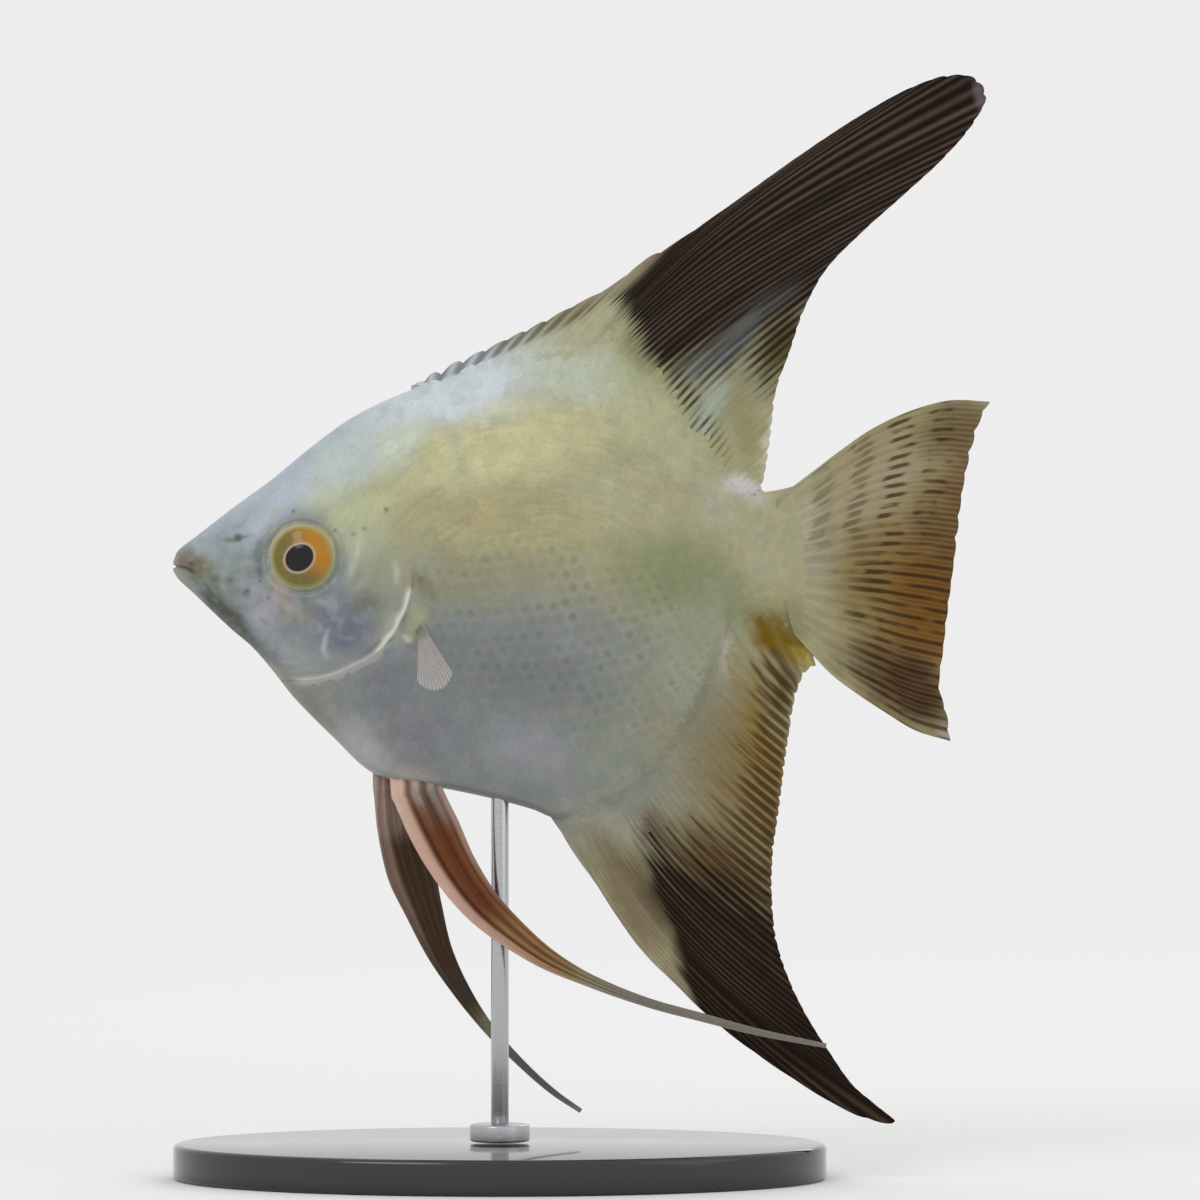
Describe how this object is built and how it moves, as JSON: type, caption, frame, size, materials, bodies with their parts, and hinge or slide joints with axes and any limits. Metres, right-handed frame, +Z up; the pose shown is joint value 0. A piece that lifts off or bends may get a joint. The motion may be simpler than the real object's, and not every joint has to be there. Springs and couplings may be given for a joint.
{
  "type": "freshwater angelfish",
  "caption": "Life-size still model of a freshwater angelfish, a tall flat-sided cichlid with long swept fins, held by one rod over a flat oval stand.",
  "frame": {"origin": "centre of the bounding box's footprint, on the floor under the stand's base", "axes": "+Z up and the longest extent; the fish swims towards -X; its left side faces -Y, its right side +Y"},
  "size_m": [0.115, 0.062, 0.1558],
  "materials": {
    "head_skin": "smooth scaled skin, silvery blue grey, semi gloss",
    "gill_cover_skin": "smooth skin with a dark blue sheen",
    "skin": "small scales, silver to olive yellow, semi gloss",
    "dark_fin_skin": "rayed fin, pale at the root and black outwards",
    "tail_fin_skin": "rayed fin, straw brown with dark spots",
    "pelvic_fin_skin": "rayed fin, red brown stripes",
    "pectoral_fin_skin": "clear rayed fin, whitish",
    "eye_gold": "glossy eye, gold iris and black pupil",
    "black_acrylic": "polished",
    "steel": "satin"
  },
  "bodies": {
    "root": {"head": "head_skin", "lower_jaw": "head_skin", "gill_cover_left": "gill_cover_skin", "gill_cover_right": "gill_cover_skin", "trunk": "skin", "tail_stalk": "skin", "dorsal_fin": "dark_fin_skin", "anal_fin": "dark_fin_skin", "tail_fin": "tail_fin_skin", "pelvic_fin_left": "pelvic_fin_skin", "pelvic_fin_right": "pelvic_fin_skin", "pectoral_fin_left": "pectoral_fin_skin", "pectoral_fin_right": "pectoral_fin_skin", "eye_left": "eye_gold", "eye_right": "eye_gold", "stand_base": "black_acrylic", "stand_rod": "steel", "stand_collar": "steel"}
  },
  "joints": []
}
